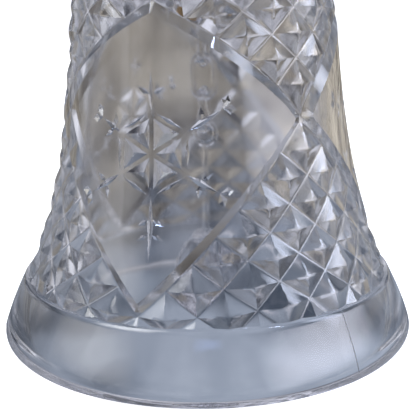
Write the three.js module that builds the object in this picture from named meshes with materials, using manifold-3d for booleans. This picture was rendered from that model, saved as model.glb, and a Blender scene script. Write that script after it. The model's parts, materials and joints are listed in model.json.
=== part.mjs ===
// A cut-crystal bell that stands on its mouth or hangs from a ring.
// Millimetres, +Z up. The origin is the middle of the mouth, on the plane that the rim rests on.
// A turn is an angle round the bell in degrees: 0 is the front (-Y), 90 is the right (+X).
import * as THREE from "three";
import { mergeVertices } from "three/addons/utils/BufferGeometryUtils.js";
import Module from "manifold-3d";

const wasm = await Module();
wasm.setup();

// ---------------------------------------------------------------- driving dimensions

const GAP = 0.3; // clearance between pieces that touch

// glass bell
const mouthRadius = 32;
const glassHeight = 66;
const rimRound = 1.3; // rounding of the rim's outer and inner edges
const bandHeight = 9.7; // smooth band at the mouth
const bandFlare = 3.5; // how much wider the mouth is than the top of the band
const bandBulge = 1.25; // 1 would make the band a plain cone
const waistRadius = 18.3; // what the flare shrinks towards
const flareLength = 21; // height over which the flare shrinks by e
const shoulderDrop = 13; // from the crown to where the shoulder starts to close
const crownRadius = 8; // flat disc on top
const wall = 3.6; // from the diamonds' tips to the hollow
const crownThickness = 6;
const hollowFullness = 0.6; // of the hollow's dome: 1 is round, less is squarer
const holeChamfer = 0.3;

// cut pattern: three lozenge panels, with diamonds between them
const panelCount = 3;
const panelCornerHeight = 35; // the two side corners, where neighbours meet
const panelTopDrop = 14.8; // from the crown to a panel's top corner
const panelBottomRise = 1; // from the band to its bottom corner
const panelBevel = 1.4;
const bevelSlant = 1.5; // a panel's edges run aslant, so its bevel is wider along a level row
const rowsBelow = 7; // rows of diamonds beside a panel's lower edge
const rowsAbove = 5; // rows beside its upper edge
const cutDepth = 1; // from a diamond's tip to its grooves
const panelDepth = 0.45; // the panels lie this far below the tips
const patternDrop = 7.5; // from the crown to the end of the pattern

// stack through the crown
const stemRadius = 1.6;
const sleeveWall = 0.7; // lines the hole in the glass
const padThickness = 0.8;
const padInset = 0.4; // from the edge of the crown to the pad
const innerPadRadius = 5;
const capRadius = 10;
const capHeight = 4.4;
const capSkirt = 1.6; // how far the rim of the cap reaches down
const capWall = 1;
const collarRadius = 3.8;
const collarHeight = 2.5;
const collarLip = 0.8; // height of the bead round its foot
const collarGroove = 0.9; // depth of the groove above that bead
const flangeInset = 1.1; // from the collar's edge to the bolt's flange
const flangeThickness = 0.8;
const eyeNeck = 0.6; // from the flange to the eye
const eyeRadius = 2.6; // to the middle of the wire
const eyeWire = 1.1; // wire radius
const ringRadius = 7.2;
const ringWire = 0.9;
const ringClearance = 0.5; // between the hanging ring and the dome that it leans on
const washerRadius = 4.8;
const washerFoot = 3.4;
const washerLip = 0.5;
const washerThickness = 1.2;
const springWasherRadius = 3;
const springWasherThickness = 0.8;
const nutAcrossFlats = 5.5;
const nutHeight = 2.2;
const edgeChamfer = 0.4; // on turned ends

// chain and striker
const eyeNutRadius = 2.8;
const eyeNutHeight = 3.2;
const eyeNutFloor = 0.9; // metal below its blind hole
const eyeNutChamfer = 0.8;
const lowerEyeSink = 0.3; // from the nut's foot to the middle of the wire, which sinks into it
const lowerEyeRadius = 1.9;
const lowerEyeWire = 0.6;
const linkCount = 3;
const linkRadius = 1.7; // of its round ends, to the middle of the wire
const linkStraight = 3;
const linkWire = 0.5;
const strikerEyeRadius = 1.7;
const strikerWire = 0.5;
const strikerStem = 13.7; // from the eye to the bead cap
const beadRadius = 5;
const beadFacets = 12;
const beadCapRadius = 2.2;
const beadCapHeight = 1.2;
const strikerNutRadius = 1.3;
const strikerNutHeight = 1;
const pinTail = 0.5; // wire below the nut

// ---------------------------------------------------------------- materials

const finish = (color, roughness, metalness, extra = {}) =>
  new THREE.MeshStandardMaterial({ color, roughness, metalness, ...extra });
const crystal = finish(0xdfe4ec, 0.03, 0, { transparent: true, opacity: 0.5 });
const brass = finish(0xc9a04a, 0.25, 1);
const steel = finish(0xb9bcc0, 0.35, 1);
const softPad = finish(0xe6e2da, 0.8, 0);

// ---------------------------------------------------------------- shapes

const rad = THREE.MathUtils.degToRad;
const place = (turn, radius, height) => [
  radius * Math.sin(rad(turn)),
  -radius * Math.cos(rad(turn)),
  height,
];

// A body turned about Z. The outline is a closed loop of [radius, height].
function turned(outline, segments = 32) {
  const loop = [...outline, outline[0]].map(([r, z]) => new THREE.Vector2(r, z));
  const geometry = new THREE.LatheGeometry(loop, segments).rotateX(Math.PI / 2);
  return facingOut(geometry);
}

// One closed body with merged corners, its faces turned outwards.
function facingOut(geometry) {
  geometry.deleteAttribute("normal");
  geometry.deleteAttribute("uv");
  const merged = mergeVertices(geometry, 1e-4);
  const at = merged.getAttribute("position");
  const corners = [...merged.index.array];
  const point = (k) => new THREE.Vector3().fromBufferAttribute(at, k);
  const kept = [];
  let volume = 0;
  for (let k = 0; k < corners.length; k += 3) {
    const [a, b, c] = corners.slice(k, k + 3);
    if (a === b || b === c || a === c) continue;
    kept.push(a, b, c);
    volume += point(a).dot(point(b).cross(point(c)));
  }
  if (volume < 0) kept.reverse();
  merged.setIndex(kept);
  return merged;
}

// A wire of round section along a closed flat loop. The loop lies in the plane of Z and `across`.
function wireLoop(loopPoint, across, wireRadius, steps, sides = 8) {
  const normal = new THREE.Vector3(0, 0, 1).cross(across).normalize();
  const positions = [];
  const index = [];
  for (let i = 0; i < steps; i++) {
    const [here, outward] = loopPoint(i / steps);
    const centre = across.clone().multiplyScalar(here[0]).setZ(here[1]);
    const side = across.clone().multiplyScalar(outward[0]).setZ(outward[1]);
    for (let k = 0; k < sides; k++) {
      const angle = (2 * Math.PI * k) / sides;
      const p = centre
        .clone()
        .addScaledVector(side, wireRadius * Math.cos(angle))
        .addScaledVector(normal, wireRadius * Math.sin(angle));
      positions.push(...p.toArray());
      const [i2, k2] = [(i + 1) % steps, (k + 1) % sides];
      const [a, b, c, d] = [i * sides + k, i2 * sides + k, i2 * sides + k2, i * sides + k2];
      index.push(a, b, c, a, c, d);
    }
  }
  const geometry = new THREE.BufferGeometry();
  geometry.setAttribute("position", new THREE.Float32BufferAttribute(positions, 3));
  geometry.setIndex(index);
  return facingOut(geometry);
}

const alongX = new THREE.Vector3(1, 0, 0);
const alongY = new THREE.Vector3(0, 1, 0);

// A round wire ring whose middle is at height `middle` on the axis.
function roundLoop(radius, middle) {
  return (u) => {
    const direction = [Math.cos(2 * Math.PI * u), Math.sin(2 * Math.PI * u)];
    return [[radius * direction[0], middle + radius * direction[1]], direction];
  };
}

// A chain link: two half circles joined by straight sides.
function linkLoop(radius, straight, middle) {
  return (u) => {
    const angle = 2 * Math.PI * u;
    const direction = [Math.cos(angle), Math.sin(angle)];
    const end = middle + (u < 0.5 ? 1 : -1) * (straight / 2);
    return [[radius * direction[0], end + radius * direction[1]], direction];
  };
}

const toSolid = (geometry) =>
  new wasm.Manifold(
    new wasm.Mesh({
      numProp: 3,
      vertProperties: geometry.getAttribute("position").array,
      triVerts: new Uint32Array(geometry.index.array),
    }),
  );

function toGeometry(solid) {
  const made = solid.getMesh();
  const geometry = new THREE.BufferGeometry();
  geometry.setAttribute("position", new THREE.Float32BufferAttribute(made.vertProperties, 3));
  geometry.setIndex([...made.triVerts]);
  return geometry;
}

const joined = (...parts) => toGeometry(parts.map(toSolid).reduce((sum, part) => sum.add(part)));

const bell = new THREE.Group();
function addPiece(name, geometry, material) {
  const flat = geometry.index ? geometry.toNonIndexed() : geometry;
  flat.computeVertexNormals();
  const mesh = new THREE.Mesh(flat, material);
  mesh.name = name;
  bell.add(mesh);
  return mesh;
}

// ---------------------------------------------------------------- outline of the glass

const boreRadius = stemRadius + GAP; // holes that the stem goes through
const sleeveRadius = boreRadius + sleeveWall;
const stemHoleRadius = sleeveRadius + GAP;

const bandTopRadius = mouthRadius - bandFlare;
const shoulderHeight = glassHeight - shoulderDrop;
const crownShare = crownRadius / flareRadius(glassHeight);
const shoulderReach = Math.sqrt(1 - crownShare ** 2);

function flareRadius(height) {
  const shrink = Math.exp(-(height - bandHeight) / flareLength);
  return waistRadius + (bandTopRadius - waistRadius) * shrink;
}

// Radius of the bell over the tips of the diamonds.
function outerRadius(height) {
  if (height < bandHeight) {
    const up = Math.max(0, (height - rimRound) / (bandHeight - rimRound));
    return mouthRadius - bandFlare * up ** bandBulge;
  }
  const rise = Math.max(0, (height - shoulderHeight) / (glassHeight - shoulderHeight));
  return flareRadius(height) * Math.sqrt(1 - (shoulderReach * rise) ** 2);
}

// ---------------------------------------------------------------- rows of diamonds

// A zone is the field of diamonds between two panels. It starts as a point where the panels'
// side corners meet, and each row of diamonds away from there holds one diamond more.
// A level counts the rows from that point, and may be a fraction.
const zoneSpan = 360 / panelCount;
const halfSpan = zoneSpan / 2;

const lowerField = {
  rows: rowsBelow,
  lastLevel: rowsBelow + 0.5,
  edgeHeight: bandHeight + panelBottomRise,
  lastHeight: bandHeight,
  widening: 0.87,
  dropping: 0.95,
  middleLift: 1.2, // the rows bow up in the middle of a zone
};
const upperField = {
  rows: rowsAbove,
  lastLevel: rowsAbove + 1.5,
  edgeHeight: glassHeight - panelTopDrop,
  lastHeight: glassHeight - patternDrop,
  widening: 1.07,
  dropping: 0.74,
  middleLift: 2.6,
};

// Half the width of a zone at a level, in degrees.
function zoneHalf(field, level) {
  const share = level / field.rows;
  return level <= field.rows ? halfSpan * share ** field.widening : halfSpan * share;
}

function rowHeight(field, level, turn) {
  const inMiddle = (1 - Math.cos(rad(panelCount * turn))) / 2;
  if (level <= field.rows) {
    const share = level / field.rows;
    const fall = (field.edgeHeight - panelCornerHeight) * share ** field.dropping;
    return panelCornerHeight + fall + field.middleLift * share ** 3 * inMiddle;
  }
  const beyond = (level - field.rows) / (field.lastLevel - field.rows);
  const edge = field.edgeHeight + (field.lastHeight - field.edgeHeight) * beyond;
  return edge + field.middleLift * (1 - beyond) * inMiddle;
}

// How far the glass stands below the diamonds' tips, at (i, j) steps along the two edges.
function pyramidDrop(i, j) {
  const [a, b] = [i - Math.floor(i), j - Math.floor(j)];
  const fromEdge = Math.min(a, b, 1 - a, 1 - b) * 2;
  return cutDepth * (1 - fromEdge);
}

// ---------------------------------------------------------------- the shell's skin

const corners = []; // x, y, z of every corner
const faces = [];
const cornerAt = new Map();

function corner(turn, radius, height) {
  const xyz = place(turn, radius, height);
  const key = xyz.map((v) => Math.round(v * 1e3)).join();
  if (!cornerAt.has(key)) {
    cornerAt.set(key, corners.length / 3);
    corners.push(...xyz);
  }
  return cornerAt.get(key);
}

function face(a, b, c) {
  if (a !== b && b !== c && a !== c) faces.push(a, b, c);
}

// Joins two rows of {turn, id}, both in order of turn. `upper` is the one nearer the crown
// on the outside of the bell.
function sew(lower, upper) {
  let [a, b] = [0, 0];
  while (a < lower.length - 1 || b < upper.length - 1) {
    const nextLower = a < lower.length - 1 ? lower[a + 1].turn : Infinity;
    const nextUpper = b < upper.length - 1 ? upper[b + 1].turn : Infinity;
    if (nextLower <= nextUpper) {
      face(lower[a].id, lower[a + 1].id, upper[b].id);
      a += 1;
    } else {
      face(lower[a].id, upper[b + 1].id, upper[b].id);
      b += 1;
    }
  }
}

const STEPS = 2; // mesh steps along one side of a diamond
const PANEL_STEP = 8; // degrees between the mesh columns of a panel

function diamondCorner(field, zoneMiddle, i, j) {
  const level = (i + j) / STEPS;
  const width = zoneHalf(field, level);
  const turn = zoneMiddle + (i + j === 0 ? 0 : ((j - i) / (i + j)) * width);
  const height = rowHeight(field, level, turn);
  const radius = outerRadius(height) - pyramidDrop(i / STEPS, j / STEPS);
  return { turn, height, id: corner(turn, radius, height) };
}

// One zone of diamonds. `down` is true below the panels' side corners.
function zone(field, zoneMiddle, down) {
  const last = field.lastLevel * STEPS;
  const full = field.rows * STEPS;
  const add = (a, b, c) => (down ? face(a, b, c) : face(a, c, b));
  for (let level = 0; level < last; level++) {
    for (let i = -last; i <= last + full; i++) {
      const j = level - i;
      const inside = level < full ? i >= 0 && j >= 0 : j - i > -full && j - i <= full;
      if (!inside) continue;
      const near = diamondCorner(field, zoneMiddle, i, j).id;
      const left = diamondCorner(field, zoneMiddle, i + 1, j).id;
      const right = diamondCorner(field, zoneMiddle, i, j + 1).id;
      if (level + 2 > last) {
        add(near, left, right);
        continue;
      }
      const far = diamondCorner(field, zoneMiddle, i + 1, j + 1).id;
      const [a, b] = [((i % STEPS) + STEPS) % STEPS, ((j % STEPS) + STEPS) % STEPS];
      if (a === b) {
        add(near, left, far);
        add(near, far, right);
      } else {
        add(near, left, right);
        add(left, far, right);
      }
    }
  }
}

// A row of corners right across a panel, from its left edge to its right edge.
function panelRow(field, panelMiddle, level) {
  const half = halfSpan - zoneHalf(field, level);
  const height = rowHeight(field, level, half);
  const radius = outerRadius(height);
  if (half < 1e-6) return [{ turn: panelMiddle, id: corner(panelMiddle, radius - cutDepth, height) }];
  const bevelTurn = THREE.MathUtils.radToDeg((panelBevel * bevelSlant) / radius);
  const inset = Math.min(bevelTurn, half);
  const across = Math.max(1, Math.round((2 * (half - inset)) / PANEL_STEP));
  const row = [-half];
  for (let k = 0; k <= across; k++) row.push((half - inset) * ((2 * k) / across - 1));
  row.push(half);
  return row
    .filter((turn, k) => k === 0 || turn > row[k - 1] + 1e-6)
    .map((turn) => {
      const inward = Math.min(1, (half - Math.abs(turn)) / bevelTurn);
      const drop = cutDepth + (panelDepth - cutDepth) * inward;
      return { turn: panelMiddle + turn, id: corner(panelMiddle + turn, radius - drop, height) };
    });
}

function panel(field, panelMiddle, down) {
  for (let level = 0; level < field.rows * STEPS; level++) {
    const here = panelRow(field, panelMiddle, level / STEPS);
    const next = panelRow(field, panelMiddle, (level + 1) / STEPS);
    if (down) sew(next, here);
    else sew(here, next);
  }
}

// A plain row right round the bell, closed on itself.
function ringRow(radius, height, count, start = 0) {
  const row = [];
  for (let k = 0; k <= count; k++) {
    const turn = start + (360 * k) / count;
    row.push({ turn, id: corner(turn, radius, height) });
  }
  return row;
}

// The last row of a field of diamonds, right round the bell.
function fieldEnd(field) {
  const last = field.lastLevel * STEPS;
  const full = field.rows * STEPS;
  const row = [];
  for (let k = 0; k < panelCount; k++) {
    for (let i = last + full; i >= -last; i--) {
      const j = last - i;
      if (j - i > -full && j - i <= full) row.push(diamondCorner(field, halfSpan + zoneSpan * k, i, j));
    }
  }
  const first = row[0];
  row.push({ turn: first.turn + 360, id: first.id });
  return row;
}

for (let k = 0; k < panelCount; k++) {
  for (const [field, down] of [
    [lowerField, true],
    [upperField, false],
  ]) {
    zone(field, halfSpan + zoneSpan * k, down);
    panel(field, zoneSpan * k, down);
  }
}

// From the diamonds' last row down the band, round the rim, up the hollow, over the crown and
// back down the shoulder.
const innerRadius = (height) => outerRadius(height) - wall;
const hollowTop = glassHeight - crownThickness;
const ringCount = 2 * rowsBelow * panelCount;
const arc = (middle, radius, from, to, steps) =>
  Array.from({ length: steps + 1 }, (_, k) => {
    const angle = rad(from + ((to - from) * k) / steps);
    return [middle[0] + radius * Math.cos(angle), middle[1] + radius * Math.sin(angle)];
  });
const rimInner = mouthRadius - wall;
const bandLevels = [1, 0.66, 0.33].map((share) => rimRound + (bandHeight - rimRound) * share);
const hollowLevels = [0.06, 0.14, 0.24, 0.36, 0.5, 0.64, 0.76, 0.86].map((share) => hollowTop * share);
const hollowRound = innerRadius(hollowLevels.at(-1)) - stemHoleRadius;
const domeDrop = hollowTop - hollowLevels.at(-1);
const hollowDome = [30, 55, 75].map((angle) => [
  stemHoleRadius + hollowRound * Math.cos(rad(angle)) ** hollowFullness,
  hollowLevels.at(-1) + domeDrop * Math.sin(rad(angle)),
]);
const shoulderLevels = [1, 0.95, 0.8, 0.6, 0.35].map(
  (share) => upperField.lastHeight + (glassHeight - upperField.lastHeight) * share,
);
const section = [
  ...bandLevels.map((height) => [outerRadius(height), height]),
  ...arc([mouthRadius - rimRound, rimRound], rimRound, 0, -90, 3),
  ...arc([rimInner + rimRound, rimRound], rimRound, -90, -180, 2),
  ...hollowLevels.map((height) => [innerRadius(height), height]),
  ...hollowDome,
  [stemHoleRadius + holeChamfer, hollowTop],
  [stemHoleRadius, hollowTop + holeChamfer],
  [stemHoleRadius, glassHeight - holeChamfer],
  [stemHoleRadius + holeChamfer, glassHeight],
  ...shoulderLevels.map((height) => [outerRadius(height), height]),
];
let above = fieldEnd(lowerField);
for (const [radius, height] of section) {
  const start = above[0].turn;
  const below = ringRow(radius, height, ringCount, start);
  sew(below, above);
  above = below;
}
sew(fieldEnd(upperField), above);

const shell = new THREE.BufferGeometry();
shell.setAttribute("position", new THREE.Float32BufferAttribute(corners, 3));
shell.setIndex(faces);
addPiece("bell_shell", shell, crystal);

// ---------------------------------------------------------------- stack on the crown

const padBottom = glassHeight + GAP;
const padTop = padBottom + padThickness;
const washerRing = (inner, outer, bottom, top, segments) =>
  turned(
    [
      [inner, bottom],
      [outer, bottom],
      [outer, top],
      [inner, top],
    ],
    segments,
  );
addPiece("crown_pad", washerRing(boreRadius, crownRadius - padInset, padBottom, padTop, 32), softPad);
addPiece("stem_sleeve", washerRing(boreRadius, sleeveRadius, hollowTop, glassHeight, 28), softPad);

const capBottom = padTop + GAP;
const capTop = capBottom + capHeight - capSkirt;
const capInner = capRadius - capWall;
const domeAt = (angle) => [
  collarRadius + (capRadius - collarRadius) * Math.cos(rad(angle)),
  capBottom + (capTop - capBottom) * Math.sin(rad(angle)),
];
addPiece(
  "crown_cap",
  turned(
    [
      [boreRadius, capBottom],
      [capInner, capBottom],
      [capInner, capBottom - capSkirt],
      [capRadius, capBottom - capSkirt],
      [capRadius, capBottom],
      ...[25, 50, 75].map(domeAt),
      [collarRadius, capTop],
      [boreRadius, capTop],
    ],
    40,
  ),
  brass,
);

const collarBottom = capTop + GAP;
const collarTop = collarBottom + collarHeight;
addPiece(
  "cap_collar",
  turned(
    [
      [boreRadius, collarBottom],
      [collarRadius - holeChamfer, collarBottom],
      [collarRadius, collarBottom + holeChamfer],
      [collarRadius, collarBottom + collarLip],
      [collarRadius - collarGroove, collarBottom + collarLip + edgeChamfer],
      [collarRadius - collarGroove + edgeChamfer, collarTop - collarLip],
      [collarRadius - collarGroove, collarTop],
      [boreRadius, collarTop],
    ],
    28,
  ),
  brass,
);

// ---------------------------------------------------------------- stack under the crown

const innerPadTop = hollowTop - GAP;
const innerPadBottom = innerPadTop - padThickness;
addPiece("inner_pad", washerRing(boreRadius, innerPadRadius, innerPadBottom, innerPadTop, 28), softPad);

const washerTop = innerPadBottom - GAP;
const washerBottom = washerTop - washerThickness;
addPiece(
  "cup_washer",
  turned(
    [
      [boreRadius, washerBottom],
      [washerFoot, washerBottom],
      [washerRadius, washerTop - washerLip],
      [washerRadius, washerTop],
      [boreRadius, washerTop],
    ],
    28,
  ),
  brass,
);

const springTop = washerBottom - GAP;
const springBottom = springTop - springWasherThickness;
addPiece("spring_washer", washerRing(boreRadius, springWasherRadius, springBottom, springTop, 24), steel);

const nutTop = springBottom - GAP;
const nutBottom = nutTop - nutHeight;
const hexagon = new THREE.Shape();
for (let k = 0; k < 6; k++) {
  const cornerRadius = nutAcrossFlats / Math.sqrt(3);
  const angle = rad(60 * k);
  const at = [cornerRadius * Math.cos(angle), cornerRadius * Math.sin(angle)];
  if (k === 0) hexagon.moveTo(...at);
  else hexagon.lineTo(...at);
}
hexagon.closePath();
const nutBore = new THREE.Path();
nutBore.absarc(0, 0, boreRadius, 0, 2 * Math.PI, true);
hexagon.holes.push(nutBore);
const nut = new THREE.ExtrudeGeometry(hexagon, { depth: nutHeight, bevelEnabled: false, curveSegments: 10 });
addPiece("stem_nut", facingOut(nut.translate(0, 0, nutBottom)), steel);

// ---------------------------------------------------------------- eye bolt and its ring

const eyeNutTop = nutBottom - GAP;
const eyeNutBottom = eyeNutTop - eyeNutHeight;
const stemBottom = eyeNutBottom + eyeNutFloor + GAP;
const flangeBottom = collarTop + GAP;
const flangeTop = flangeBottom + flangeThickness;
const flangeRadius = collarRadius - flangeInset;
const eyeMiddle = flangeTop + eyeNeck + eyeRadius + eyeWire;
const bolt = turned(
  [
    [0, stemBottom],
    [stemRadius - edgeChamfer, stemBottom],
    [stemRadius, stemBottom + edgeChamfer],
    [stemRadius, flangeBottom],
    [flangeRadius, flangeBottom],
    [flangeRadius, flangeTop],
    [eyeWire, eyeMiddle - eyeRadius],
    [0, eyeMiddle - eyeRadius],
  ],
  24,
);
const eye = wireLoop(roundLoop(eyeRadius, eyeMiddle), alongX, eyeWire, 32, 12);
addPiece("hanger_eye", joined(bolt, eye), brass);

// The ring threads the eye and leans to the right until it all but lies on the cap's dome.
// The room is what its wire leaves to the dome, at a lean from straight up in degrees.
function ringRoom(lean) {
  let room = Infinity;
  for (let turn = 0; turn <= 90; turn += 5) {
    const along = ringRadius * (1 + Math.cos(rad(turn)));
    const radius = Math.hypot(along * Math.sin(rad(lean)), ringRadius * Math.sin(rad(turn)));
    const height = eyeMiddle + along * Math.cos(rad(lean));
    for (let angle = 0; angle <= 90; angle += 5) {
      const [domeRadius, domeHeight] = domeAt(angle);
      room = Math.min(room, Math.hypot(radius - domeRadius, height - domeHeight) - ringWire);
    }
  }
  return room;
}
let ringLean = 90;
while (ringRoom(ringLean) > ringClearance) ringLean += 1;
const ringGroup = new THREE.Group();
ringGroup.position.set(0, 0, eyeMiddle);
ringGroup.rotation.y = rad(ringLean);
bell.add(ringGroup);
const ring = new THREE.Mesh(
  wireLoop(roundLoop(ringRadius, ringRadius), alongY, ringWire, 48, 10).toNonIndexed(),
  brass,
);
ring.name = "hanging_ring";
ringGroup.add(ring);

// ---------------------------------------------------------------- eye nut and chain

const lowerEyeMiddle = eyeNutBottom - lowerEyeRadius - lowerEyeSink;
const nutBody = turned(
  [
    [0, eyeNutBottom],
    [eyeNutRadius - eyeNutChamfer, eyeNutBottom],
    [eyeNutRadius, eyeNutBottom + eyeNutChamfer],
    [eyeNutRadius, eyeNutTop],
    [boreRadius, eyeNutTop],
    [boreRadius, eyeNutBottom + eyeNutFloor],
    [0, eyeNutBottom + eyeNutFloor],
  ],
  28,
);
const lowerEye = wireLoop(roundLoop(lowerEyeRadius, lowerEyeMiddle), alongX, lowerEyeWire, 28, 10);
addPiece("eye_nut", joined(nutBody, lowerEye), brass);

// Each link hangs on the lowest wire of the piece above it, turned a quarter from it.
let hangFrom = { height: lowerEyeMiddle - lowerEyeRadius, wire: lowerEyeWire };
for (let k = 1; k <= linkCount; k++) {
  const topOfLink = hangFrom.height + hangFrom.wire + linkWire + GAP;
  const middle = topOfLink - linkRadius - linkStraight / 2;
  const across = k % 2 ? alongY : alongX;
  const link = wireLoop(linkLoop(linkRadius, linkStraight, middle), across, linkWire, 28, 8);
  addPiece(`chain_link_${k}`, link, brass);
  hangFrom = { height: middle - linkStraight / 2 - linkRadius, wire: linkWire };
}

// ---------------------------------------------------------------- striker

const strikerAcross = linkCount % 2 ? alongX : alongY;
const strikerEyeTop = hangFrom.height + hangFrom.wire + strikerWire + GAP;
const strikerEyeMiddle = strikerEyeTop - strikerEyeRadius;
const strikerEyeBottom = strikerEyeMiddle - strikerEyeRadius;
const upperCapTop = strikerEyeBottom - strikerStem;
const beadBore = strikerWire + GAP;
const beadSeat = Math.sqrt(beadRadius ** 2 - beadCapRadius ** 2);
const beadMiddle = upperCapTop - beadCapHeight - beadSeat;
const lowerCapBottom = beadMiddle - beadSeat - beadCapHeight;
const strikerNutTop = lowerCapBottom - GAP;
const strikerNutBottom = strikerNutTop - strikerNutHeight;
const pinBottom = strikerNutBottom - pinTail;

const pin = turned(
  [
    [0, pinBottom],
    [strikerWire, pinBottom],
    [strikerWire, strikerEyeBottom],
    [0, strikerEyeBottom],
  ],
  12,
);
const strikerEye = wireLoop(roundLoop(strikerEyeRadius, strikerEyeMiddle), strikerAcross, strikerWire, 28, 8);
addPiece("clapper_wire", joined(pin, strikerEye), brass);

// The bead is a cut ball with a bore for the wire.
const beadRings = [24, 48, 72, 90, 108, 132, 156];
const beadOutline = beadRings.map((angle) => [
  beadRadius * Math.sin(rad(angle)),
  beadMiddle - beadRadius * Math.cos(rad(angle)),
]);
addPiece(
  "clapper_bead",
  turned(
    [
      [beadBore, beadOutline[0][1]],
      ...beadOutline,
      [beadBore, beadOutline.at(-1)[1]],
    ],
    beadFacets,
  ),
  crystal,
);

// A shallow cup against the bead: `away` is +1 for the one above it and -1 for the one below.
function beadCap(away) {
  const height = (share) => beadMiddle + away * (beadSeat + beadCapHeight * share);
  const bead = (radius) => beadMiddle + away * (Math.sqrt(beadRadius ** 2 - radius ** 2) + GAP);
  return turned(
    [
      [beadBore, bead(beadBore)],
      [beadCapRadius * 0.6, bead(beadCapRadius * 0.6)],
      [beadCapRadius, bead(beadCapRadius)],
      [beadCapRadius, height(0.35)],
      [beadCapRadius * 0.75, height(0.75)],
      [beadCapRadius * 0.6, height(1)],
      [beadBore, height(1)],
    ],
    20,
  );
}
addPiece("upper_bead_cap", beadCap(1), brass);
addPiece("lower_bead_cap", beadCap(-1), brass);
addPiece("clapper_nut", washerRing(beadBore, strikerNutRadius, strikerNutBottom, strikerNutTop, 12), brass);

export default bell;
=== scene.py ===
# %% [markdown]
# # A cut-crystal bell
# The bell is one heavy pressed and cut glass shell with a gilt hanger through its crown and a
# chained crystal striker inside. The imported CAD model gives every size, place and joint. This
# script makes the fine glass skin and the finished metal around it, and leaves the rest alone.

# %% Load the frame
import json
import math

import bmesh
import bpy
import numpy as np
from mathutils import Matrix, Vector
from mathutils.geometry import delaunay_2d_cdt


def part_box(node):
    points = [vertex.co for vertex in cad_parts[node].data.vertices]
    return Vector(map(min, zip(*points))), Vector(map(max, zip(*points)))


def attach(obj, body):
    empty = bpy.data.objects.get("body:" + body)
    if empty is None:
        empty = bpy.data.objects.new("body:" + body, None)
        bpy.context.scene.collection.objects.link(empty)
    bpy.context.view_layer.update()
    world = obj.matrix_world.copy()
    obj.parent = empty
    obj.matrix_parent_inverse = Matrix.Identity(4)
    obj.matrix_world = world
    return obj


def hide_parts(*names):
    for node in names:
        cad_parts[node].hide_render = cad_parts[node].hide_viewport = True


MM = 0.001
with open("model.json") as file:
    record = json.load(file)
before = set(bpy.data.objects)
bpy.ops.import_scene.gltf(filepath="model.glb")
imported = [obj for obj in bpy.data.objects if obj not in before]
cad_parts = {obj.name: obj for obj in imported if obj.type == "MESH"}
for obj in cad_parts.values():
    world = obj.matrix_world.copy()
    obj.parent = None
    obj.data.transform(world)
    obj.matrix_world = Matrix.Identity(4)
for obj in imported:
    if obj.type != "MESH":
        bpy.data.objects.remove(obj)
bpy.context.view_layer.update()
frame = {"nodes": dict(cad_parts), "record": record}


def size_of(node):
    """Lowest and highest corner of a CAD node, in millimetres."""
    low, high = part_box(node)
    return low / MM, high / MM


MOUTH_RADIUS = size_of("bell_shell")[1].x
GLASS_HEIGHT = size_of("bell_shell")[1].z
print("pieces:", len(frame["nodes"]), "glass:", round(MOUTH_RADIUS, 2), "x", round(GLASS_HEIGHT, 2))

# %% [markdown]
# ## Three small helpers
# Colours are written as the sRGB hex values that a paint program shows, so one function turns
# them to the linear numbers that Blender works in. One function adds a node with its settings
# and links, which keeps each material readable as a list of steps. One makes a mesh object.


# %% Helpers
def colour(code):
    """'#rrggbb' as a linear RGBA colour."""
    channels = [int(code[k : k + 2], 16) / 255 for k in (1, 3, 5)]
    linear = [c / 12.92 if c <= 0.04045 else ((c + 0.055) / 1.055) ** 2.4 for c in channels]
    return (*linear, 1.0)


def add_node(tree, kind, inputs=None, **settings):
    """Adds a node. An input is given by its name or number, as a value or as another's output."""
    node = tree.nodes.new(kind)
    for name, value in settings.items():
        setattr(node, name, value)
    for key, value in (inputs or {}).items():
        if isinstance(value, bpy.types.NodeSocket):
            tree.links.new(value, node.inputs[key])
        else:
            node.inputs[key].default_value = value
    return node


def mesh_object(name, points, faces):
    """A mesh object whose points are given in millimetres."""
    mesh = bpy.data.meshes.new(name)
    mesh.from_pydata([tuple(MM * v for v in p) for p in points], [], faces)
    made = bpy.data.objects.new(name, mesh)
    bpy.context.scene.collection.objects.link(made)
    return made


print("white is", colour("#ffffff"))

# %% [markdown]
# ## Camera
# The bell is seen a little from above, from close by, with the front panel turned to the left.
# The camera goes first, because everything else is judged through it.

# %% Camera
CAMERA_TURN = 20  # degrees round the bell from its front, towards the right
CAMERA_AWAY = 135.9  # from the bell's axis
CAMERA_HEIGHT = 55.0
CAMERA_PITCH = 14.99  # degrees below level
CAMERA_YAW = 0.15  # degrees to the right of the axis
CAMERA_ROLL = -0.92
CAMERA_LENS = 77.3


def place(turn, radius, height):
    """A point at a turn round the bell in degrees: 0 is the front (-Y), 90 is the right (+X)."""
    angle = math.radians(turn)
    return (radius * math.sin(angle), -radius * math.cos(angle), height)


camera = bpy.data.objects.new("camera", bpy.data.cameras.new("camera"))
camera.data.lens = CAMERA_LENS
camera.data.clip_start = 0.01
camera.location = Vector(place(CAMERA_TURN, CAMERA_AWAY, CAMERA_HEIGHT)) * MM
camera.rotation_mode = "QUATERNION"
look = (
    Matrix.Rotation(math.radians(CAMERA_TURN - CAMERA_YAW), 3, "Z")
    @ Matrix.Rotation(math.radians(90 - CAMERA_PITCH), 3, "X")
    @ Matrix.Rotation(math.radians(CAMERA_ROLL), 3, "Z")
)
camera.rotation_quaternion = look.to_quaternion()
bpy.context.scene.collection.objects.link(camera)
bpy.context.scene.camera = camera
print("camera at", [round(v / MM, 1) for v in camera.location])

# %% [markdown]
# ## The outline of the glass
# The mouth is a smooth flared band. Above it the radius shrinks ever more slowly, and near the
# top an elliptical shoulder closes it to a flat crown. These are the same rules as in the CAD
# model, so that the fine skin lies where the plain one does.

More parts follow.
